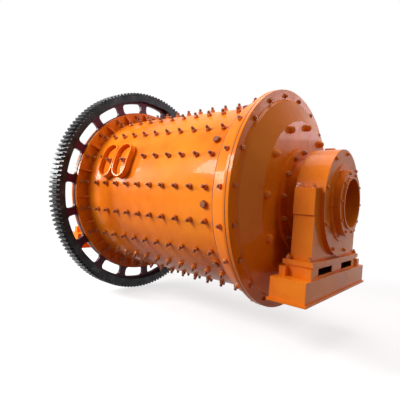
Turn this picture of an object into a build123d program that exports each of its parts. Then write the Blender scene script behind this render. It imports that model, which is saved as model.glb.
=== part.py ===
# Rod mill: a flanged drum with a slotted ring gear, carried in two trunnion bearings.
# The mill axis lies along X. The feed end points to +X and the gear is at the other end.
# The origin is on the underside of the feed pedestal's base, under the bearing's centre.
from build123d import *
import math
import os

os.makedirs("parts", exist_ok=True)

# Drum, in millimetres
shell_inner_radius = 1050
shell_wall = 28
shell_length = 2460
flange_height = 142
flange_thickness = 40
cone_length = 165
cone_edge = 8
lip_thickness = 30
lip_step = 36
joint_chamfer = 5
row_count = 20
row_turn = 1.2
gusset_thickness = 16
gusset_length = 92
gusset_toe = 12
gusset_head = 14
gusset_edge_margin = 18

# Drum heads, whose sizes along the axis are counted outwards from the flange face
head_plate = 80
head_step_inset = 105
head_step_height = 30
head_step_slope = 16
head_cone_run = 229
head_cone_inset = 38
head_height = 140
spigot_depth = 30
spigot_wall = 60

# Trunnions
bore_radius = 250
journal_radius = 400
hub_flange_radius = 578
hub_flange_thickness = 35
hub_fillet = 50
trunnion_spigot_radius = 330
journal_margin = 5
collar_radius = 340
collar_length = 102
collar_chamfer = 5
collar_lip_radius = 268
collar_lip_length = 17

# Ring gear
gear_module = 20
gear_web_height = 175
gear_face_width = 190
gear_rim_depth = 80
web_thickness = 40
web_slot_count = 18
web_slot_inner_margin = 6
web_slot_outer_margin = 33
web_slot_angle = 15.2
web_slot_turn = 6.6
web_slot_corner = 45

# Manhole in the shell, with a curved door held by two clamps
manhole_from_flange = 1845
manhole_angle = 17.2
manhole_length = 440
manhole_width = 320
manhole_corner = 90
door_overlap = 35
door_thickness = 16
clamp_length = 450
clamp_width = 258
clamp_height = 70
clamp_spacing = 272
clamp_wall = 18
clamp_floor = 12

# Trunnion bearing, sizes counted from the mill axis
axis_height = 930
bearing_offset = 455
housing_radius = 550
housing_half_width = 125
housing_wall = 45
saddle_foot = 22
split_drop = 150
ear_top = 100
ear_half_width = 100
bearing_half_length = 662
column_half_width = 100
column_recess = 20
liner_thickness = 45
liner_half_length = 105
liner_half_angle = 60
cover_thickness = 20
cover_clearance = 6
seal_radius = 400
seal_thickness = 15
seal_chamfer = 3
seal_clearance = 2
oil_plug_offset = -30
oil_plug_length = 104
oil_plug_width = 60
oil_plug_height = 22
oil_plug_seat = 2

# Pedestal below the bearing
base_length = 1780
base_width = 333
base_plate_thickness = 22
base_plate_margin = 16
sole_length = 1424
sole_width = 286
sole_height = 147
sole_top_thickness = 44
sole_recess = 14
sole_slot_length = 380
sole_slot_foot = 14
sole_slot_height = 66
sole_slot_spacing = 670
sole_slot_depth = 90
lug_size = 62
lug_height = 84
lug_reach = 44
lug_side_reach = 8

# Fits
turned_fit = 0.3
running_fit = 0.05

# Places that follow from the sizes above
shell_radius = shell_inner_radius + shell_wall
flange_radius = shell_radius + flange_height
head_step_radius = flange_radius - head_step_inset
head_ridge_radius = head_step_radius - head_step_slope - head_cone_run
feed_face = -bearing_offset
shell_feed_end = feed_face - flange_thickness
shell_gear_end = shell_feed_end - shell_length
gear_face = shell_gear_end - web_thickness - flange_thickness
web_centre = shell_gear_end - web_thickness / 2
drum_middle = (feed_face + gear_face) / 2
tooth_root_depth = 1.25 * gear_module
gear_teeth = round(2 * (flange_radius + gear_web_height + gear_rim_depth + tooth_root_depth) / gear_module)
pitch_radius = gear_module * gear_teeth / 2
tip_radius = pitch_radius + gear_module
root_radius = pitch_radius - tooth_root_depth
rim_inner_radius = root_radius - gear_rim_depth
web_slot_inner_radius = flange_radius + web_slot_inner_margin
web_slot_outer_radius = rim_inner_radius - web_slot_outer_margin
sole_top = axis_height - housing_radius - saddle_foot
base_top = sole_top - sole_height
split_height = axis_height - split_drop
liner_seat_radius = journal_radius + running_fit + liner_thickness

mill_axis = Axis((0, 0, axis_height), (1, 0, 0))
mirror_plane = Plane(origin=(drum_middle, 0, 0), x_dir=(0, 1, 0), z_dir=(1, 0, 0))
profile_plane = Plane(origin=(0, 0, axis_height), x_dir=(1, 0, 0), z_dir=(0, -1, 0))


def across(x):
    # A plane square to the mill axis, looking outwards from the drum's feed end
    return Plane(origin=(x, 0, axis_height), x_dir=(0, 1, 0), z_dir=(1, 0, 0))


def turned(outline):
    # A ring turned about the mill axis from points given as (x, radius)
    with BuildPart() as ring:
        with BuildSketch(profile_plane):
            with BuildLine():
                Polyline(*outline, close=True)
            make_face()
        revolve(axis=mill_axis)
    return ring


def save(piece, label):
    piece.part.label = label
    export_step(piece.part, f"parts/{label}.step")


def save_both_ends(piece, label):
    # The feed end piece and its mirror image at the gear end
    save(piece, f"feed_{label}")
    with BuildPart() as mirrored:
        mirror(piece.part, about=mirror_plane)
    save(mirrored, f"gear_end_{label}")


def radial_plane(x, angle, radius):
    # A plane tangent to the drum at an angle above the horizontal on the -Y side
    turn = math.radians(angle)
    outward = Vector(0, -math.cos(turn), math.sin(turn))
    centre = Vector(x, 0, axis_height) + outward * radius
    return Plane(origin=centre, x_dir=(1, 0, 0), z_dir=outward)


# Shell plate with the manhole cut through it
manhole_x = feed_face - manhole_from_flange
with BuildPart() as shell:
    with BuildSketch(across(shell_gear_end)):
        Circle(shell_radius)
        Circle(shell_inner_radius, mode=Mode.SUBTRACT)
    extrude(amount=shell_length)
    with BuildSketch(radial_plane(manhole_x, manhole_angle, shell_inner_radius * 0.8)):
        RectangleRounded(manhole_length, manhole_width, manhole_corner)
    extrude(amount=shell_radius * 0.4, mode=Mode.SUBTRACT)
save(shell, "shell")

# Flared end ring of the shell at the feed end, with the lip that meets the head
ring_bore = shell_radius + turned_fit
lip_back = shell_feed_end - lip_thickness
feed_end_ring = turned([
    (shell_feed_end, ring_bore),
    (shell_feed_end, flange_radius - joint_chamfer),
    (shell_feed_end - joint_chamfer, flange_radius),
    (lip_back, flange_radius),
    (lip_back, flange_radius - lip_step),
    (shell_feed_end - cone_length, ring_bore + cone_edge),
    (shell_feed_end - cone_length, ring_bore),
])
save(feed_end_ring, "feed_end_ring")

# End flange of the shell at the gear, with gussets towards the shell
gear_flange_front = shell_gear_end + flange_thickness
gusset_foot = ring_bore + 0.4
with BuildPart() as gear_end_ring:
    with BuildSketch(across(shell_gear_end)):
        Circle(flange_radius)
        Circle(ring_bore, mode=Mode.SUBTRACT)
    extrude(amount=flange_thickness)
    gusset_plane = profile_plane.offset(-gusset_thickness / 2)
    with BuildSketch(gusset_plane):
        with BuildLine():
            Polyline(
                (gear_flange_front - 1, gusset_foot),
                (gear_flange_front + gusset_length, gusset_foot),
                (gear_flange_front + gusset_length, gusset_foot + gusset_toe),
                (gear_flange_front + gusset_head, flange_radius - gusset_edge_margin),
                (gear_flange_front - 1, flange_radius - gusset_edge_margin),
                close=True,
            )
        make_face()
    gusset = extrude(amount=gusset_thickness, mode=Mode.PRIVATE)
    row_step = 360 / row_count
    for index in range(row_count):
        add(gusset.rotate(mill_axis, row_step * (index + 0.5) - row_turn))
save(gear_end_ring, "gear_end_ring")

# Drum heads: flange, cone and flat hub plate
cone_back = head_height - head_plate
head_inner_radius = shell_inner_radius - 1
feed_head = turned([
    (feed_face - joint_chamfer, flange_radius),
    (feed_face, flange_radius - joint_chamfer),
    (feed_face, head_step_radius),
    (feed_face + head_step_height, head_step_radius - head_step_slope),
    (feed_face + head_height, head_ridge_radius),
    (feed_face + head_height, trunnion_spigot_radius),
    (feed_face + cone_back, trunnion_spigot_radius),
    (feed_face + cone_back, head_ridge_radius - head_cone_inset),
    (shell_feed_end - spigot_depth, head_inner_radius - spigot_wall),
    (shell_feed_end - spigot_depth, head_inner_radius),
    (shell_feed_end, head_inner_radius),
    (shell_feed_end, flange_radius - joint_chamfer),
    (shell_feed_end + joint_chamfer, flange_radius),
])
save_both_ends(feed_head, "head")

# Trunnions: hub flange and journal, bored through
hub_seat = feed_face + head_height
journal_end = housing_half_width - journal_margin
with BuildPart() as feed_trunnion:
    with BuildSketch(profile_plane):
        with BuildLine():
            Polyline(
                (hub_seat - head_plate, bore_radius),
                (hub_seat - head_plate, trunnion_spigot_radius - turned_fit),
                (hub_seat, trunnion_spigot_radius - turned_fit),
                (hub_seat, hub_flange_radius),
                (hub_seat + hub_flange_thickness, hub_flange_radius),
                (hub_seat + hub_flange_thickness, journal_radius + hub_fillet),
                (hub_seat + hub_flange_thickness + hub_fillet, journal_radius),
                (journal_end, journal_radius),
                (journal_end, bore_radius),
                (hub_seat - head_plate, bore_radius),
            )
        make_face()
    revolve(axis=mill_axis)
save_both_ends(feed_trunnion, "trunnion")

# Collar on the end of each trunnion, with the mouth's lip
collar_face = journal_end + collar_length
feed_collar = turned([
    (journal_end, bore_radius),
    (journal_end, collar_radius),
    (collar_face - collar_chamfer, collar_radius),
    (collar_face, collar_radius - collar_chamfer),
    (collar_face, collar_lip_radius),
    (collar_face + collar_lip_length, collar_lip_radius),
    (collar_face + collar_lip_length, bore_radius),
])
save_both_ends(feed_collar, "collar")

# Ring gear web: a flat ring with long slots whose corners are rounded
web_plane = across(shell_gear_end - web_thickness)
with BuildSketch(web_plane) as web_slot:
    with BuildLine():
        slot_start = 180 + web_slot_turn - web_slot_angle / 2
        slot_outside = CenterArc((0, 0), web_slot_outer_radius, slot_start, web_slot_angle)
        slot_inside = CenterArc((0, 0), web_slot_inner_radius, slot_start, web_slot_angle)
        Line(slot_outside @ 0, slot_inside @ 0)
        Line(slot_outside @ 1, slot_inside @ 1)
    make_face()
    fillet(web_slot.vertices(), web_slot_corner)
with BuildPart() as gear_web:
    with BuildSketch(web_plane):
        Circle(rim_inner_radius - turned_fit)
        Circle(shell_inner_radius, mode=Mode.SUBTRACT)
        with PolarLocations(0, web_slot_count):
            add(web_slot.sketch_local, mode=Mode.SUBTRACT)
    extrude(amount=web_thickness)
save(gear_web, "gear_web")

# Toothed rim of the ring gear, with curved flanks; the shares are of one tooth's pitch
tip_share = 0.17
pitch_line_share = 0.25
root_share = 0.36
tooth_pitch = 2 * math.pi / gear_teeth
half_tip = tip_share * tooth_pitch
half_pitch_width = pitch_line_share * tooth_pitch
half_root = root_share * tooth_pitch


def on_circle(radius, angle):
    return (radius * math.cos(angle), radius * math.sin(angle))


with BuildPart() as gear_rim:
    with BuildSketch(across(web_centre - gear_face_width / 2)):
        with BuildLine():
            for index in range(gear_teeth):
                centre = index * tooth_pitch
                Line(on_circle(tip_radius, centre - half_tip), on_circle(tip_radius, centre + half_tip))
                ThreePointArc(
                    on_circle(tip_radius, centre + half_tip),
                    on_circle(pitch_radius, centre + half_pitch_width),
                    on_circle(root_radius, centre + half_root),
                )
                following = centre + tooth_pitch
                Line(on_circle(root_radius, centre + half_root), on_circle(root_radius, following - half_root))
                ThreePointArc(
                    on_circle(root_radius, following - half_root),
                    on_circle(pitch_radius, following - half_pitch_width),
                    on_circle(tip_radius, following - half_tip),
                )
        make_face()
        Circle(rim_inner_radius, mode=Mode.SUBTRACT)
    extrude(amount=gear_face_width)
save(gear_rim, "gear_rim")

# Manhole door: a piece of the shell's curve lying over the opening
door_inner = shell_radius + turned_fit
door_outer = door_inner + door_thickness
manhole_plane = radial_plane(manhole_x, manhole_angle, shell_inner_radius * 0.8)
with BuildPart() as manhole_door:
    with BuildSketch(across(manhole_x - manhole_length)):
        Circle(door_outer)
        Circle(door_inner, mode=Mode.SUBTRACT)
    extrude(amount=2 * manhole_length)
    with BuildSketch(manhole_plane):
        RectangleRounded(
            manhole_length + 2 * door_overlap,
            manhole_width + 2 * door_overlap,
            manhole_corner + door_overlap,
        )
    extrude(amount=shell_radius * 0.4, mode=Mode.INTERSECT)
save(manhole_door, "manhole_door")

# Two curved clamps across the door, each a long rounded trough with a raised rim
clamp_base = door_outer + turned_fit
for name, side in (("manhole_clamp_feed_side", 1), ("manhole_clamp_gear_side", -1)):
    clamp_x = manhole_x + side * clamp_spacing / 2
    clamp_plane = radial_plane(clamp_x, manhole_angle, shell_inner_radius * 0.8)
    with BuildPart() as clamp:
        with BuildSketch(across(clamp_x - clamp_width)):
            Circle(clamp_base + clamp_height)
            Circle(clamp_base, mode=Mode.SUBTRACT)
        extrude(amount=2 * clamp_width)
        with BuildSketch(clamp_plane):
            SlotOverall(clamp_length, clamp_width, rotation=90)
        extrude(amount=shell_radius * 0.4, mode=Mode.INTERSECT)
        with BuildPart(mode=Mode.PRIVATE) as trough:
            with BuildSketch(across(clamp_x - clamp_width)):
                Circle(clamp_base + clamp_height + 1)
                Circle(clamp_base + clamp_floor, mode=Mode.SUBTRACT)
            extrude(amount=2 * clamp_width)
            with BuildSketch(clamp_plane):
                SlotOverall(clamp_length - 2 * clamp_wall, clamp_width - 2 * clamp_wall, rotation=90)
            extrude(amount=shell_radius * 0.4, mode=Mode.INTERSECT)
        add(trough.part, mode=Mode.SUBTRACT)
    save(clamp, name)

# Pedestal base: a closed box on a wider bottom plate
with BuildPart() as base:
    with BuildSketch(Plane.XY):
        Rectangle(base_width + 2 * base_plate_margin, base_length + 2 * base_plate_margin)
    extrude(amount=base_plate_thickness)
    with BuildSketch(Plane.XY.offset(base_plate_thickness)):
        Rectangle(base_width, base_length)
    extrude(amount=base_top - base_plate_thickness)
save_both_ends(base, "base")

# Sole block: recessed body under a wider top plate, with two slots in each long side
with BuildPart() as sole:
    with BuildSketch(Plane.XY.offset(base_top)):
        Rectangle(sole_width - 2 * sole_recess, sole_length - 2 * sole_recess)
    extrude(amount=sole_height - sole_top_thickness)
    with BuildSketch(Plane.XY.offset(base_top)):
        with GridLocations(sole_width - lug_size + 2 * lug_side_reach, sole_length, 2, 2):
            Rectangle(lug_size, 2 * lug_reach)
    extrude(amount=lug_height)
    with BuildSketch(Plane.XY.offset(sole_top - sole_top_thickness)):
        Rectangle(sole_width, sole_length)
    extrude(amount=sole_top_thickness)
    with BuildSketch(Plane.XY.offset(base_top + sole_slot_foot)):
        with GridLocations(sole_width - 2 * sole_recess, sole_slot_spacing, 2, 2):
            Rectangle(2 * sole_slot_depth, sole_slot_length)
    extrude(amount=sole_slot_height, mode=Mode.SUBTRACT)
save_both_ends(sole, "sole")

# Bearing body: column and round saddle, open upwards and seated on the sole
with BuildPart() as bearing_body:
    with BuildSketch(Plane.XY.offset(sole_top)):
        Rectangle(2 * column_half_width, 2 * (bearing_half_length - column_recess))
    extrude(amount=split_height - sole_top)
    with BuildSketch(across(-housing_half_width)):
        Circle(housing_radius)
        with Locations((0, housing_radius - split_drop)):
            Rectangle(2 * housing_radius, 2 * housing_radius, mode=Mode.SUBTRACT)
    extrude(amount=2 * housing_half_width)
    with BuildSketch(across(-housing_half_width)):
        Circle(liner_seat_radius)
    extrude(amount=2 * housing_half_width, mode=Mode.SUBTRACT)
save_both_ends(bearing_body, "bearing_body")

# Bearing liner: the lower arc that carries the journal
with BuildPart() as bearing_liner:
    with BuildSketch(across(-liner_half_length)):
        with BuildLine():
            outer = liner_seat_radius - turned_fit
            inner = journal_radius + running_fit
            start = -90 - liner_half_angle
            arc_out = CenterArc((0, 0), outer, start, 2 * liner_half_angle)
            arc_in = CenterArc((0, 0), inner, start, 2 * liner_half_angle)
            Line(arc_out @ 0, arc_in @ 0)
            Line(arc_out @ 1, arc_in @ 1)
        make_face()
    extrude(amount=2 * liner_half_length)
save_both_ends(bearing_liner, "bearing_liner")

# Bearing cap: half round housing with a heavy ear on each side
with BuildPart() as bearing_cap:
    with BuildSketch(across(-housing_half_width)):
        Circle(housing_radius)
        with Locations((0, -housing_radius - split_drop)):
            Rectangle(2 * housing_radius, 2 * housing_radius, mode=Mode.SUBTRACT)
    extrude(amount=2 * housing_half_width)
    with BuildSketch(across(-ear_half_width)):
        with Locations((0, (ear_top - split_drop) / 2)):
            Rectangle(2 * bearing_half_length, ear_top + split_drop)
    extrude(amount=2 * ear_half_width)
    with BuildSketch(across(-housing_half_width)):
        Circle(housing_radius - housing_wall)
    extrude(amount=2 * housing_half_width, mode=Mode.SUBTRACT)
save_both_ends(bearing_cap, "bearing_cap")

# Round cover plates on both faces of the housing
for name, face, shaft_radius in (
    ("outer_cover", housing_half_width, collar_radius),
    ("inner_cover", -housing_half_width - cover_thickness, journal_radius),
):
    with BuildPart() as cover:
        with BuildSketch(across(face)):
            Circle(housing_radius)
            Circle(shaft_radius + cover_clearance, mode=Mode.SUBTRACT)
        extrude(amount=cover_thickness)
    save_both_ends(cover, name)

# Seal ring on the outer cover, close around the trunnion's collar
seal_back = housing_half_width + cover_thickness
seal_face = seal_back + seal_thickness
seal_ring = turned([
    (seal_back, collar_radius + seal_clearance),
    (seal_back, seal_radius),
    (seal_face - seal_chamfer, seal_radius),
    (seal_face, seal_radius - seal_chamfer),
    (seal_face, collar_radius + seal_clearance),
])
save_both_ends(seal_ring, "seal_ring")

# Oil filler plug on top of the cap
with BuildPart() as oil_plug:
    with BuildSketch(Plane.XY.offset(axis_height + housing_radius - oil_plug_seat)):
        with Locations((oil_plug_offset, 0)):
            RectangleRounded(oil_plug_length, oil_plug_width, oil_plug_width / 4)
    extrude(amount=oil_plug_height)
    with BuildSketch(across(-housing_half_width)):
        Circle(housing_radius + turned_fit)
    extrude(amount=2 * housing_half_width, mode=Mode.SUBTRACT)
save_both_ends(oil_plug, "oil_plug")
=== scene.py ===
# Rod mill: finishes, bolts and small fittings around the fixed frame, in metres.
import math
import bpy
import bmesh
from mathutils import Matrix, Vector


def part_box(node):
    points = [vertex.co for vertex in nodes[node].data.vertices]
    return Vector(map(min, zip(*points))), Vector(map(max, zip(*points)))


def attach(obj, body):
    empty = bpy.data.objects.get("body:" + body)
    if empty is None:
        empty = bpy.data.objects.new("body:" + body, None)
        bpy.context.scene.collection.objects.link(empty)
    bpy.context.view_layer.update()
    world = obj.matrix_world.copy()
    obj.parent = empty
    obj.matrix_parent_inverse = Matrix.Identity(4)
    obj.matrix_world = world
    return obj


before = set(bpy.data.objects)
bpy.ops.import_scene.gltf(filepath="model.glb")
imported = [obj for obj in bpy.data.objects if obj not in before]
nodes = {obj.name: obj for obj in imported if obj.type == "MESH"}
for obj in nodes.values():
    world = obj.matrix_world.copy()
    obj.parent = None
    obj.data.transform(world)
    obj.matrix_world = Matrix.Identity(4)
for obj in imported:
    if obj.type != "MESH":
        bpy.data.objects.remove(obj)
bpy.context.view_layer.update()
labels = {"feed": "feed", "gear_end": "gearEnd"}


def low(node):
    return Vector(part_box(node)[0])


def high(node):
    return Vector(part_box(node)[1])


# Places read from the frame; the flange plates' thickness and two angles in degrees are given
mill = {"flangePlate": 0.040, "rowTurn": 2.2, "manholeAngle": 17.2}
mill["axisZ"] = (low("shell").z + high("shell").z) / 2
mill["shellRadius"] = (high("shell").z - low("shell").z) / 2
mill["feedFace"] = high("feed_end_ring").x + mill["flangePlate"]
mill["shellEnd"] = low("shell").x
mill["gearRingFace"] = mill["shellEnd"] + mill["flangePlate"]
mill["middle"] = (high("feed_collar").x + low("gear_end_collar").x) / 2
mill["hubSeat"] = high("feed_head").x
print("frame read: axis height", round(mill["axisZ"], 3))


# Materials
def newMaterial(name):
    material = bpy.data.materials.new(name)
    material.use_nodes = True
    tree = material.node_tree
    shader = tree.nodes["Principled BSDF"]
    coords = tree.nodes.new("ShaderNodeTexCoord")
    return material, tree, shader, coords


def addNoise(tree, coords, scale, detail=3.0, rough=0.55):
    noise = tree.nodes.new("ShaderNodeTexNoise")
    noise.inputs["Scale"].default_value = scale
    noise.inputs["Detail"].default_value = detail
    noise.inputs["Roughness"].default_value = rough
    tree.links.new(coords.outputs["Object"], noise.inputs["Vector"])
    return noise


def addRamp(tree, source, stops):
    ramp = tree.nodes.new("ShaderNodeValToRGB")
    ramp.color_ramp.elements[0].position = stops[0][0]
    ramp.color_ramp.elements[0].color = (*stops[0][1], 1)
    ramp.color_ramp.elements[1].position = stops[-1][0]
    ramp.color_ramp.elements[1].color = (*stops[-1][1], 1)
    for place, colour in stops[1:-1]:
        ramp.color_ramp.elements.new(place).color = (*colour, 1)
    tree.links.new(source, ramp.inputs["Fac"])
    return ramp


def mixColours(tree, factor, first, second, mode="MIX"):
    mix = tree.nodes.new("ShaderNodeMix")
    mix.data_type = "RGBA"
    mix.blend_type = mode
    if isinstance(factor, float):
        mix.inputs[0].default_value = factor
    else:
        tree.links.new(factor, mix.inputs[0])
    for value, socket in ((first, mix.inputs[6]), (second, mix.inputs[7])):
        if isinstance(value, tuple):
            socket.default_value = (*value, 1)
        else:
            tree.links.new(value, socket)
    return mix.outputs[2]


def combine(tree, operation, first, second):
    node = tree.nodes.new("ShaderNodeMath")
    node.operation = operation
    tree.links.new(first, node.inputs[0])
    tree.links.new(second, node.inputs[1])
    return node.outputs[0]


def compareTo(tree, value, centre, reach):
    # 1 where the value lies within reach of the centre
    test = tree.nodes.new("ShaderNodeMath")
    test.operation = "COMPARE"
    test.inputs[1].default_value = centre
    test.inputs[2].default_value = reach
    tree.links.new(value, test.inputs[0])
    return test.outputs[0]


def addBump(tree, shader, layers):
    # Bump layers as (height, strength, distance), chained into the shader's normal
    normal = None
    for height, strength, distance in layers:
        bump = tree.nodes.new("ShaderNodeBump")
        bump.inputs["Strength"].default_value = strength
        bump.inputs["Distance"].default_value = distance
        tree.links.new(height, bump.inputs["Height"])
        if normal:
            tree.links.new(normal, bump.inputs["Normal"])
        normal = bump.outputs["Normal"]
    tree.links.new(normal, shader.inputs["Normal"])


orangePaint = {"deep": (0.62, 0.120, 0.004), "main": (0.80, 0.190, 0.007), "pale": (0.90, 0.255, 0.013),
               "waviness": 0.10, "plateWaviness": 0.22}


def makeOrangePaint(name, waviness):
    material, tree, shader, coords = newMaterial(name)
    wide = addNoise(tree, coords, 1.4, 4.0)
    tone = addRamp(tree, wide.outputs["Fac"], [(0.30, orangePaint["deep"]), (0.46, orangePaint["main"]),
                                               (0.72, orangePaint["pale"])])
    speck = addNoise(tree, coords, 90.0, 2.0)
    specks = addRamp(tree, speck.outputs["Fac"], [(0.30, (0.86, 0.82, 0.80)), (0.42, (1, 1, 1))])
    colour = mixColours(tree, 0.6, tone.outputs["Color"], specks.outputs["Color"], "MULTIPLY")
    tree.links.new(colour, shader.inputs["Base Color"])
    smear = addNoise(tree, coords, 6.0, 5.0)
    gloss = addRamp(tree, smear.outputs["Fac"], [(0.35, (0.24, 0.24, 0.24)), (0.70, (0.40, 0.40, 0.40))])
    tree.links.new(gloss.outputs["Color"], shader.inputs["Roughness"])
    shader.inputs["Specular IOR Level"].default_value = 0.06
    shader.inputs["Coat Weight"].default_value = 0.12
    shader.inputs["Coat Roughness"].default_value = 0.06
    peel = addNoise(tree, coords, 160.0, 2.0)
    sag = addNoise(tree, coords, 3.2, 2.0)
    addBump(tree, shader, [(sag.outputs["Fac"], waviness, 0.02), (peel.outputs["Fac"], 0.05, 0.001)])
    return material


# The slot colour below is painted shade: a near-black tone standing in for the shade inside the deep slots
soleSlot = {"height": 0.258, "heightReach": 0.0335, "lengthReach": 0.53, "depthReach": 0.120,
            "slotShade": (0.035, 0.008, 0.006)}


def makeSolePaint(middles):
    # The orange paint, with painted shade inside the long slots of both sole blocks: near black where the
    # deep slots lie in shade
    material = makeOrangePaint("solePaint", orangePaint["waviness"])
    tree = material.node_tree
    shader = tree.nodes["Principled BSDF"]
    coords = next(node for node in tree.nodes if node.type == "TEX_COORD")
    split = tree.nodes.new("ShaderNodeSeparateXYZ")
    tree.links.new(coords.outputs["Object"], split.inputs[0])
    tests = [compareTo(tree, split.outputs["Z"], soleSlot["height"], soleSlot["heightReach"]),
             compareTo(tree, split.outputs["Y"], 0.0, soleSlot["lengthReach"])]
    near = [compareTo(tree, split.outputs["X"], middle, soleSlot["depthReach"]) for middle in middles]
    inside = combine(tree, "MAXIMUM", near[0], near[1])
    for test in tests:
        inside = combine(tree, "MULTIPLY", inside, test)
    painted = shader.inputs["Base Color"].links[0].from_socket
    # Painted shade: the slot interiors turn near black
    withSlotShade = mixColours(tree, inside, painted, soleSlot["slotShade"])
    tree.links.new(withSlotShade, shader.inputs["Base Color"])
    return material


def makeMaroonPaint():
    material, tree, shader, coords = newMaterial("maroonPaint")
    wide = addNoise(tree, coords, 3.0, 4.0)
    tone = addRamp(tree, wide.outputs["Fac"], [(0.32, (0.040, 0.002, 0.010)), (0.68, (0.105, 0.004, 0.026))])
    tree.links.new(tone.outputs["Color"], shader.inputs["Base Color"])
    shader.inputs["Roughness"].default_value = 0.42
    shader.inputs["Specular IOR Level"].default_value = 0.18
    shader.inputs["Coat Weight"].default_value = 0.12
    shader.inputs["Coat Roughness"].default_value = 0.2
    cast = addNoise(tree, coords, 45.0, 4.0)
    addBump(tree, shader, [(cast.outputs["Fac"], 0.25, 0.003)])
    return material


def makeGearSteel():
    material, tree, shader, coords = newMaterial("gearSteel")
    grease = addNoise(tree, coords, 7.0, 6.0, 0.65)
    tone = addRamp(tree, grease.outputs["Fac"], [(0.35, (0.006, 0.006, 0.007)), (0.55, (0.022, 0.022, 0.025)),
                                                 (0.78, (0.075, 0.085, 0.095))])
    tree.links.new(tone.outputs["Color"], shader.inputs["Base Color"])
    gloss = addRamp(tree, grease.outputs["Fac"], [(0.35, (0.30, 0.30, 0.30)), (0.75, (0.55, 0.55, 0.55))])
    tree.links.new(gloss.outputs["Color"], shader.inputs["Roughness"])
    shader.inputs["Metallic"].default_value = 0.65
    cutMarks = addNoise(tree, coords, 60.0, 3.0)
    addBump(tree, shader, [(cutMarks.outputs["Fac"], 0.2, 0.002)])
    return material


def makeDarkSteel(name, dark, light, rough, metallic=0.6):
    material, tree, shader, coords = newMaterial(name)
    stain = addNoise(tree, coords, 40.0, 4.0)
    tone = addRamp(tree, stain.outputs["Fac"], [(0.35, dark), (0.70, light)])
    tree.links.new(tone.outputs["Color"], shader.inputs["Base Color"])
    shader.inputs["Metallic"].default_value = metallic
    shader.inputs["Roughness"].default_value = rough
    grit = addNoise(tree, coords, 260.0, 2.0)
    addBump(tree, shader, [(grit.outputs["Fac"], 0.3, 0.0006)])
    return material


paint = makeOrangePaint("orangePaint", orangePaint["waviness"])
platePaint = makeOrangePaint("orangePlatePaint", orangePaint["plateWaviness"])
solePaint = makeSolePaint([0.0, 2 * mill["middle"]])
maroon = makeMaroonPaint()
gearSteel = makeGearSteel()
studSteel = makeDarkSteel("studSteel", (0.12, 0.032, 0.008), (0.32, 0.085, 0.012), 0.5, 0.2)
boltPaint = makeDarkSteel("boltPaint", (0.36, 0.080, 0.005), (0.68, 0.170, 0.010), 0.34, 0.0)
# Near-black paint for painted shade: dark lines standing in for the shade in the gaps and steps at the band,
# the flange groove and the manhole clamps
shadeLinePaint = makeDarkSteel("shadeLinePaint", (0.020, 0.006, 0.005), (0.070, 0.016, 0.012), 0.7, 0.0)
liningMetal = makeDarkSteel("bearingMetal", (0.45, 0.36, 0.20), (0.66, 0.56, 0.36), 0.32)
print("materials made")

for name, node in nodes.items():
    finish = paint
    if name in ("shell", "manhole_door") or name.endswith("cover"):
        finish = platePaint
    if name.endswith("sole"):
        finish = solePaint
    if name == "gear_web":
        finish = maroon
    if name == "gear_rim":
        finish = gearSteel
    if name.endswith("bearing_liner"):
        finish = liningMetal
    node.data.materials.clear()
    node.data.materials.append(finish)


# Small shapes, each made once as a template along +Z with its seat at the origin
fitting = {"sink": 0.002, "washerHeight": 0.006, "sharpAngle": 38}


def cone(mesh, sides, bottom, top, start, height, slot=0):
    before = set(mesh.faces)
    made = bmesh.ops.create_cone(mesh, cap_ends=True, segments=sides, radius1=bottom, radius2=top,
                                 depth=height)
    bmesh.ops.translate(mesh, verts=made["verts"], vec=(0, 0, start + height / 2))
    for face in set(mesh.faces) - before:
        face.material_index = slot


def hexNut(mesh, radius, start, height, slot=0):
    # Six-sided nut with its corners turned down at the top
    chamfer = height * 0.22
    cone(mesh, 6, radius, radius, start, height - chamfer, slot)
    cone(mesh, 6, radius, radius * 0.84, start + height - chamfer, chamfer, slot)


def studNut(fit):
    # Washer, nut, and the stud's end with its point
    washerHeight = fit.get("washerHeight", fitting["washerHeight"])
    mesh = bmesh.new()
    cone(mesh, 14, fit["washer"], fit["washer"] * 0.96, -fitting["sink"], washerHeight + fitting["sink"])
    hexNut(mesh, fit["nut"], washerHeight, fit["nutHeight"])
    studStart = washerHeight + fit["nutHeight"] - fitting["sink"]
    cone(mesh, 10, fit["stud"], fit["stud"], studStart, fit["studHeight"], 1)
    cone(mesh, 10, fit["stud"], fit["stud"] * 0.6, studStart + fit["studHeight"], fit["stud"] * 0.5, 1)
    return mesh


def domeNut(fit):
    # Washer, short collar and round crown
    radius, height = fit["size"], fit["height"]
    mesh = bmesh.new()
    cone(mesh, 24, radius * 1.12, radius * 1.08, -0.002, 0.010)
    cone(mesh, 24, radius, radius * 0.98, 0.008, height * 0.35)
    crown = bmesh.ops.create_uvsphere(mesh, u_segments=24, v_segments=12, radius=1.0)
    below = [vert for vert in crown["verts"] if vert.co.z < -0.01]
    bmesh.ops.delete(mesh, geom=below, context="VERTS")
    kept = [vert for vert in crown["verts"] if vert.is_valid]
    bmesh.ops.scale(mesh, verts=kept, vec=(radius * 0.98, radius * 0.98, height * 0.65))
    bmesh.ops.translate(mesh, verts=kept, vec=(0, 0, 0.008 + height * 0.35))
    return mesh


def capScrew(fit):
    mesh = bmesh.new()
    cone(mesh, 12, fit["size"] * 1.3, fit["size"] * 1.25, -0.001, 0.005)
    hexNut(mesh, fit["size"], 0.004, fit["height"])
    return mesh


def scatter(pieceName, template, places, materials, body, smooth=False):
    # One joined mesh from copies of a template; a place is (position, direction, spin)
    plain = bpy.data.meshes.new(pieceName + "Template")
    template.to_mesh(plain)
    template.free()
    joined = bmesh.new()
    for position, direction, spin in places:
        first = len(joined.verts)
        joined.from_mesh(plain)
        joined.verts.ensure_lookup_table()
        turn = Vector((0, 0, 1)).rotation_difference(Vector(direction)).to_matrix().to_4x4()
        matrix = Matrix.Translation(position) @ turn @ Matrix.Rotation(spin, 4, "Z")
        bmesh.ops.transform(joined, matrix=matrix, verts=joined.verts[first:])
    bpy.data.meshes.remove(plain)
    finishPiece(pieceName, joined, materials, body, smooth)


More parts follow.
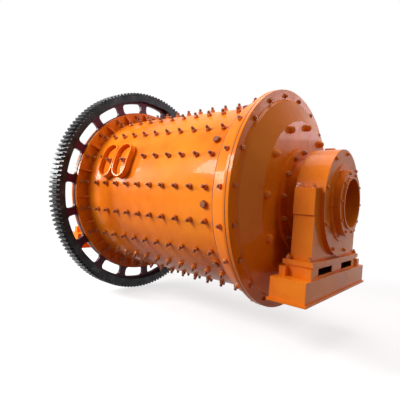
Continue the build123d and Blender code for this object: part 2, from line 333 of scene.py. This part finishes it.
def finishPiece(pieceName, mesh, materials, body, smooth=False):
    data = bpy.data.meshes.new(pieceName)
    for face in mesh.faces:
        face.smooth = smooth
    mesh.to_mesh(data)
    mesh.free()
    for material in materials:
        data.materials.append(material)
    piece = bpy.data.objects.new(pieceName, data)
    bpy.context.scene.collection.objects.link(piece)
    if smooth:
        data.set_sharp_from_angle(angle=math.radians(fitting["sharpAngle"]))
    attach(piece, body)


def spinRing(mesh, profile, segments=180):
    # Closed ring about the mill axis, from a closed outline of (x, radius) points
    outline = [mesh.verts.new((x, 0, mill["axisZ"] + radius)) for x, radius in profile]
    edges = [mesh.edges.new((outline[index - 1], outline[index])) for index in range(len(outline))]
    bmesh.ops.spin(mesh, geom=outline + edges, cent=(0, 0, mill["axisZ"]), axis=(1, 0, 0), angle=2 * math.pi,
                   steps=segments, use_merge=True)
    bmesh.ops.remove_doubles(mesh, verts=mesh.verts, dist=0.00001)
    bmesh.ops.recalc_face_normals(mesh, faces=mesh.faces)


def outward(angle):
    # Unit vector away from the mill axis, at an angle above the horizontal on the -Y side
    turn = math.radians(angle)
    return Vector((0, -math.cos(turn), math.sin(turn)))


def onAxis(x):
    return Vector((x, 0, mill["axisZ"]))


def endX(end, x):
    # The same place at either end of the mill
    return x if end == "feed" else 2 * mill["middle"] - x


def endDirection(end):
    return Vector((1, 0, 0)) if end == "feed" else Vector((-1, 0, 0))


def faceRing(end, fit, x):
    # Places on a circle about the mill axis, facing out of that end
    places = []
    for index in range(fit["count"]):
        angle = fit["firstAngle"] + 360 / fit["count"] * index
        spot = onAxis(endX(end, x)) + outward(angle) * fit["radius"]
        places.append((spot, endDirection(end), math.radians(angle)))
    return places


# Liner bolts in straight rows along the shell
linerBolt = {"rows": 20, "perRow": 11, "first": 0.383, "pitch": 0.2010, "washer": 0.034, "nut": 0.029,
             "nutHeight": 0.028, "stud": 0.017, "studHeight": 0.026, "manholeTurn": 15.0, "spin": 0.3}
manholeMiddle = (low("manhole_door") + high("manhole_door")) / 2
manholeHalf = (high("manhole_clamp_feed_side").x - low("manhole_clamp_gear_side").x) / 2
places = []
for row in range(linerBolt["rows"]):
    angle = mill["rowTurn"] + 360 / linerBolt["rows"] * row
    for step in range(linerBolt["perRow"]):
        x = mill["feedFace"] - linerBolt["first"] - linerBolt["pitch"] * step
        nearDoor = abs(x - manholeMiddle.x) < manholeHalf + linerBolt["washer"]
        if nearDoor and abs(angle - mill["manholeAngle"]) < linerBolt["manholeTurn"]:
            continue
        direction = outward(angle)
        spot = onAxis(x) + direction * (mill["shellRadius"] - 0.0005)
        places.append((spot, direction, linerBolt["spin"] * row + step))
scatter("linerBolts", studNut(linerBolt), places, [boltPaint, studSteel], "drum")

# Band over the flare behind the feed flange, with painted shade at its back edge: a dark line standing in for
# the shadow where the band steps down to the shell
feedBand = {"front": 0.071, "back": 0.245, "frontRadius": 1.1830, "backRadius": 1.146, "edge": 0.005,
            "shadeWidth": 0.007, "cover": 0.006, "foot": 0.020}
seat = mill["shellRadius"] - 0.001
inner = [(feedBand["front"] - feedBand["cover"], feedBand["backRadius"]),
         (feedBand["front"], feedBand["frontRadius"]),
         (feedBand["back"] - feedBand["edge"] - feedBand["shadeWidth"], feedBand["backRadius"] + 0.001),
         (feedBand["back"] - feedBand["edge"], feedBand["backRadius"]),
         (feedBand["back"], feedBand["backRadius"] - feedBand["edge"]), (feedBand["back"], seat),
         (feedBand["back"] - feedBand["foot"], seat)]
mesh = bmesh.new()
spinRing(mesh, [(mill["feedFace"] - back, radius) for back, radius in inner])
edgeX = mill["feedFace"] - feedBand["back"] + feedBand["edge"] + feedBand["shadeWidth"]
# Faces at the back edge get painted shade, a dark line in place of the step's shadow
for face in mesh.faces:
    middle = face.calc_center_median()
    if middle.x < edgeX and (middle - onAxis(middle.x)).length > feedBand["backRadius"] - feedBand["edge"]:
        face.material_index = 1
finishPiece("feedBand", mesh, [paint, shadeLinePaint], "drum", smooth=True)

# Bolts through the band
bandBolt = {"fromFace": 0.140, "tilt": 14.0, "washer": linerBolt["washer"] * 0.9,
            "nut": linerBolt["nut"] * 0.9, "nutHeight": 0.020, "stud": linerBolt["stud"], "studHeight": 0.010}
slope = (feedBand["frontRadius"] - feedBand["backRadius"]) / (feedBand["back"] - feedBand["front"])
boltSeat = feedBand["frontRadius"] - slope * (bandBolt["fromFace"] - feedBand["front"]) - 0.001
tilt = math.radians(bandBolt["tilt"])
places = []
for row in range(linerBolt["rows"]):
    direction = outward(mill["rowTurn"] + 360 / linerBolt["rows"] * row)
    lean = direction * math.cos(tilt) - Vector((1, 0, 0)) * math.sin(tilt)
    places.append((onAxis(mill["feedFace"] - bandBolt["fromFace"]) + direction * boltSeat, lean, row))
scatter("bandBolts", studNut(bandBolt), places, [boltPaint, studSteel], "drum")

# Large dark plugs between the rows near the feed end
drainPlug = {"count": 10, "fromFace": 0.385, "firstAngle": -6.8, "radius": 0.040, "height": 0.030}
mesh = bmesh.new()
cone(mesh, 20, drainPlug["radius"] * 1.15, drainPlug["radius"] * 1.1, -fitting["sink"], 0.008)
hexNut(mesh, drainPlug["radius"], 0.006, drainPlug["height"], 1)
places = []
for index in range(drainPlug["count"]):
    direction = outward(drainPlug["firstAngle"] + 360 / drainPlug["count"] * index)
    seat = onAxis(mill["feedFace"] - drainPlug["fromFace"]) + direction * (mill["shellRadius"] - 0.001)
    places.append((seat, direction, index))
scatter("drainPlugs", mesh, places, [paint, studSteel], "drum")
print("shell bolts made")

# Studs in the troughs of the manhole clamps
clampStud = {"seat": 1.1060, "spin": 0.4, "washer": 0.046, "nut": 0.032, "nutHeight": 0.030, "stud": 0.018,
             "studHeight": 0.024, "washerHeight": 0.008}
places = []
for clamp in ("manhole_clamp_feed_side", "manhole_clamp_gear_side"):
    middle = (low(clamp).x + high(clamp).x) / 2
    direction = outward(mill["manholeAngle"])
    places.append((onAxis(middle) + direction * clampStud["seat"], direction, clampStud["spin"]))
scatter("clampStuds", studNut(clampStud), places, [boltPaint, studSteel], "drum")

# Painted shade beside the manhole clamps: short dark dashes standing in for the shadow in the gap along each
# clamp
clampShade = {"count": 4, "turn": 4.7, "beside": 0.0065, "width": 0.011, "length": 0.062, "height": 0.003,
              "bevel": 0.0008,
              "seats": {"manhole_clamp_feed_side": 1.0948, "manhole_clamp_gear_side": 1.0782}}
places = []
for clamp, seat in clampShade["seats"].items():
    for dash in range(clampShade["count"]):
        turn = mill["manholeAngle"] + clampShade["turn"] * (dash - (clampShade["count"] - 1) / 2)
        spot = onAxis(low(clamp).x - clampShade["beside"]) + outward(turn) * seat
        places.append((spot, outward(turn), 0.0))
mesh = bmesh.new()
bmesh.ops.create_cube(mesh, size=1.0)
bmesh.ops.scale(mesh, verts=mesh.verts, vec=(clampShade["width"], clampShade["length"], clampShade["height"]))
bmesh.ops.bevel(mesh, geom=mesh.edges[:], offset=clampShade["bevel"], offset_type="OFFSET", segments=1,
                profile=0.5, affect="EDGES", material=-1)
scatter("clampShadeDashes", mesh, places, [shadeLinePaint], "drum")

# Painted shade in the groove between the feed flange and its head: a dark ring standing in for the shade in
# the gap
grooveShade = {"behind": mill["flangePlate"], "halfWidth": 0.0035, "outside": 1.2180, "inside": 1.2120}
mesh = bmesh.new()
corners = [(-grooveShade["halfWidth"], grooveShade["inside"]), (-grooveShade["halfWidth"], grooveShade["outside"]),
           (grooveShade["halfWidth"], grooveShade["outside"]), (grooveShade["halfWidth"], grooveShade["inside"])]
spinRing(mesh, [(mill["feedFace"] - grooveShade["behind"] + along, radius) for along, radius in corners])
finishPiece("headGrooveShade", mesh, [shadeLinePaint], "drum", smooth=True)

# Flange bolts, crown nuts, hub bolts and collar bolts on both heads
flangeBolt = {"count": 20, "radius": 1.150, "firstAngle": 3.2, "washer": 0.027, "nut": 0.024,
              "nutHeight": 0.017, "stud": 0.012, "studHeight": 0.005}
crownNut = {"count": 12, "radius": 0.817, "firstAngle": 0.5, "size": 0.038, "height": 0.050}
hubBolt = {"count": 14, "radius": 0.525, "firstAngle": 2.0, "hubPlate": 0.035, "washer": 0.031, "nut": 0.028,
           "nutHeight": 0.024, "stud": 0.014, "studHeight": 0.008}
collarBolt = {"count": 10, "radius": 0.308, "firstAngle": 1.0, "mouthLip": 0.017, "size": 0.013,
              "height": 0.010}
for end, label in labels.items():
    places = faceRing(end, flangeBolt, mill["feedFace"])
    scatter(label + "FlangeBolts", studNut(flangeBolt), places, [boltPaint, boltPaint], "drum")
    places = faceRing(end, crownNut, mill["hubSeat"])
    scatter(label + "CrownNuts", domeNut(crownNut), places, [paint], "drum", smooth=True)
    places = faceRing(end, hubBolt, mill["hubSeat"] + hubBolt["hubPlate"])
    scatter(label + "HubBolts", studNut(hubBolt), places, [boltPaint, boltPaint], "drum")
    places = faceRing(end, collarBolt, high("feed_collar").x - collarBolt["mouthLip"])
    scatter(label + "CollarBolts", capScrew(collarBolt), places, [paint], "drum")

# Nuts between the gussets on the gear end flange
webBolt = {"count": 20, "radius": 1.165, "washer": 0.030, "nut": 0.027, "nutHeight": 0.022, "stud": 0.014,
           "studHeight": 0.008}
places = []
for index in range(webBolt["count"]):
    direction = outward(mill["rowTurn"] + 360 / webBolt["count"] * index)
    places.append((onAxis(mill["gearRingFace"]) + direction * webBolt["radius"], Vector((1, 0, 0)), index))
scatter("webBolts", studNut(webBolt), places, [boltPaint, boltPaint], "drum")
print("head bolts made")

# Bolts on the bearing covers, seal rings, ears and feet
coverBolt = {"count": 9, "radius": 0.515, "firstAngle": 14.0, "size": 0.017, "height": 0.016}
sealBolt = {"count": 6, "radius": 0.371, "firstAngle": -68.0, "size": 0.011, "height": 0.012}
earBolt = {"halfAcross": 0.058, "fromMiddle": 0.602, "z": mill["axisZ"] + 0.100, "spin": 0.2,
           "washer": 0.032, "nut": 0.027, "nutHeight": 0.022, "stud": 0.014, "studHeight": 0.016}
footNut = {"halfAcross": 0.105, "fromMiddle": 0.677, "z": high("feed_sole").z, "spin": 0.5,
           "washer": 0.025, "nut": 0.023, "nutHeight": 0.022, "stud": 0.012, "studHeight": 0.016}


def fourCorners(end, fit):
    places = []
    for side in (-1, 1):
        for across in (-fit["halfAcross"], fit["halfAcross"]):
            spot = Vector((endX(end, 0) + across, side * fit["fromMiddle"], fit["z"]))
            places.append((spot, Vector((0, 0, 1)), fit["spin"]))
    return places


for end, label in labels.items():
    places = faceRing(end, coverBolt, high("feed_outer_cover").x)
    scatter(label + "CoverBolts", capScrew(coverBolt), places, [paint], "pedestals")
    places = faceRing(end, sealBolt, high("feed_seal_ring").x)
    scatter(label + "SealBolts", capScrew(sealBolt), places, [paint], "pedestals")
    places = fourCorners(end, earBolt)
    scatter(label + "EarBolts", studNut(earBolt), places, [boltPaint, boltPaint], "pedestals")
    places = fourCorners(end, footNut)
    scatter(label + "FootNuts", studNut(footNut), places, [boltPaint, boltPaint], "pedestals")
print("bearing bolts made")

# Camera, placed by a fit of the frame's edges to the photograph
shot = {"place": (1.257, -3.690, 0.808), "yaw": 129.44, "pitch": 0.53, "roll": 4.57, "lens": 30.81,
        "sensor": 36, "farthest": 100}
yaw = math.radians(shot["yaw"])
pitch = math.radians(shot["pitch"])
roll = math.radians(shot["roll"])
look = Vector((math.cos(pitch) * math.cos(yaw), math.cos(pitch) * math.sin(yaw), math.sin(pitch)))
right = look.cross(Vector((0, 0, 1))).normalized()
up = right.cross(look)
right, up = right * math.cos(roll) + up * math.sin(roll), up * math.cos(roll) - right * math.sin(roll)
cameraData = bpy.data.cameras.new("camera")
cameraData.lens = shot["lens"]
cameraData.sensor_width = shot["sensor"]
cameraData.clip_end = shot["farthest"]
camera = bpy.data.objects.new("camera", cameraData)
pose = Matrix((right, up, -look)).transposed().to_4x4()
camera.matrix_world = Matrix.Translation(shot["place"]) @ pose
bpy.context.scene.collection.objects.link(camera)
bpy.context.scene.camera = camera
bpy.context.scene.view_settings.view_transform = "Standard"


# Studio: pale floor, white surroundings for camera and reflections, soft lamps
def seenRays(tree):
    # 1 where a camera, mirror or glass ray looks
    path = tree.nodes.new("ShaderNodeLightPath")
    most = combine(tree, "MAXIMUM", path.outputs["Is Camera Ray"], path.outputs["Is Glossy Ray"])
    return combine(tree, "MAXIMUM", most, path.outputs["Is Transmission Ray"])


studio = {"floorX": -1.5, "floorZ": -0.62, "floorSize": 120.0, "ambient": 0.14, "shadowDepth": 0.40,
          "glowShare": 0.7, "near": 3.5, "far": 9.0, "bounce": (0.15, 0.09, 0.075), "roughness": 0.9}
world = bpy.data.worlds.new("studioWorld")
world.use_nodes = True
bpy.context.scene.world = world
worldTree = world.node_tree
ambient = worldTree.nodes["Background"]
ambient.inputs["Color"].default_value = (1, 1, 1, 1)
ambient.inputs["Strength"].default_value = studio["ambient"]
white = worldTree.nodes.new("ShaderNodeBackground")
white.inputs["Color"].default_value = (1, 1, 1, 1)
white.inputs["Strength"].default_value = 1.0
worldMix = worldTree.nodes.new("ShaderNodeMixShader")
worldTree.links.new(seenRays(worldTree), worldMix.inputs[0])
worldTree.links.new(ambient.outputs[0], worldMix.inputs[1])
worldTree.links.new(white.outputs[0], worldMix.inputs[2])
worldTree.links.new(worldMix.outputs[0], worldTree.nodes["World Output"].inputs["Surface"])

floorMesh = bmesh.new()
bmesh.ops.create_grid(floorMesh, x_segments=1, y_segments=1, size=studio["floorSize"] / 2)
bmesh.ops.translate(floorMesh, verts=floorMesh.verts, vec=(studio["floorX"], 0, studio["floorZ"]))
floorData = bpy.data.meshes.new("studioFloor")
floorMesh.to_mesh(floorData)
floorMesh.free()
floor = bpy.data.objects.new("studioFloor", floorData)
bpy.context.scene.collection.objects.link(floor)
floorPaint, floorTree, floorShader, floorCoords = newMaterial("studioFloor")
floorShader.inputs["Base Color"].default_value = (*studio["bounce"], 1)
floorShader.inputs["Roughness"].default_value = studio["roughness"]
floorOutput = floorTree.nodes["Material Output"]
paleFloor = floorTree.nodes.new("ShaderNodeBsdfDiffuse")
paleFloor.inputs["Color"].default_value = (studio["shadowDepth"],) * 3 + (1,)
floorGlow = floorTree.nodes.new("ShaderNodeEmission")
away = floorTree.nodes.new("ShaderNodeVectorMath")
away.operation = "LENGTH"
floorTree.links.new(floorCoords.outputs["Object"], away.inputs[0])
glowRange = floorTree.nodes.new("ShaderNodeMapRange")
glowRange.interpolation_type = "SMOOTHSTEP"
glowRange.inputs["From Min"].default_value = studio["near"]
glowRange.inputs["From Max"].default_value = studio["far"]
glowRange.inputs["To Min"].default_value = 1.0 - studio["shadowDepth"] * studio["glowShare"]
glowRange.inputs["To Max"].default_value = 1.0
floorTree.links.new(away.outputs["Value"], glowRange.inputs["Value"])
floorTree.links.new(glowRange.outputs["Result"], floorGlow.inputs["Strength"])
floorSeen = floorTree.nodes.new("ShaderNodeAddShader")
floorTree.links.new(paleFloor.outputs[0], floorSeen.inputs[0])
floorTree.links.new(floorGlow.outputs[0], floorSeen.inputs[1])
floorMix = floorTree.nodes.new("ShaderNodeMixShader")
floorTree.links.new(seenRays(floorTree), floorMix.inputs[0])
floorTree.links.new(floorShader.outputs[0], floorMix.inputs[1])
floorTree.links.new(floorSeen.outputs[0], floorMix.inputs[2])
floorTree.links.new(floorMix.outputs[0], floorOutput.inputs["Surface"])
floorData.materials.append(floorPaint)


lamps = {
    "keyLamp": {"place": (-4.4, -6.2, 4.4), "target": (-1.3, 0, 0.9), "size": (2.6, 2.0), "power": 540,
                "colour": (1, 1, 1)},
    "windowLamp": {"place": (-7.4, -4.2, 2.4), "target": (-2.5, -1.0, 1.1), "size": (1.5, 2.0), "power": 330,
                   "colour": (1, 1, 1)},
    "topLamp": {"place": (-1.3, 0.8, 7.0), "target": (-1.3, 0, 0.9), "size": (6.0, 4.0), "power": 300,
                "colour": (1.0, 0.93, 0.93)},
    "endLamp": {"place": (6.0, -2.5, 4.2), "target": (0, 0, 0.9), "size": (2.0, 2.0), "power": 55,
                "colour": (1, 1, 1)},
    "hazeLamp": {"place": (1.9, 4.9, 3.4), "target": (-0.4, 0, 1.7), "size": (1.8, 1.4), "power": 48,
                 "colour": (1.0, 0.76, 0.82)},
}
for lampName, lamp in lamps.items():
    lampData = bpy.data.lights.new(lampName, "AREA")
    lampData.shape = "RECTANGLE"
    lampData.size, lampData.size_y = lamp["size"]
    lampData.energy = lamp["power"]
    lampData.color = lamp["colour"]
    lampObject = bpy.data.objects.new(lampName, lampData)
    aim = Vector(lamp["target"]) - Vector(lamp["place"])
    turn = aim.to_track_quat("-Z", "Y").to_matrix().to_4x4()
    lampObject.matrix_world = Matrix.Translation(lamp["place"]) @ turn
    bpy.context.scene.collection.objects.link(lampObject)
print("camera and studio set")
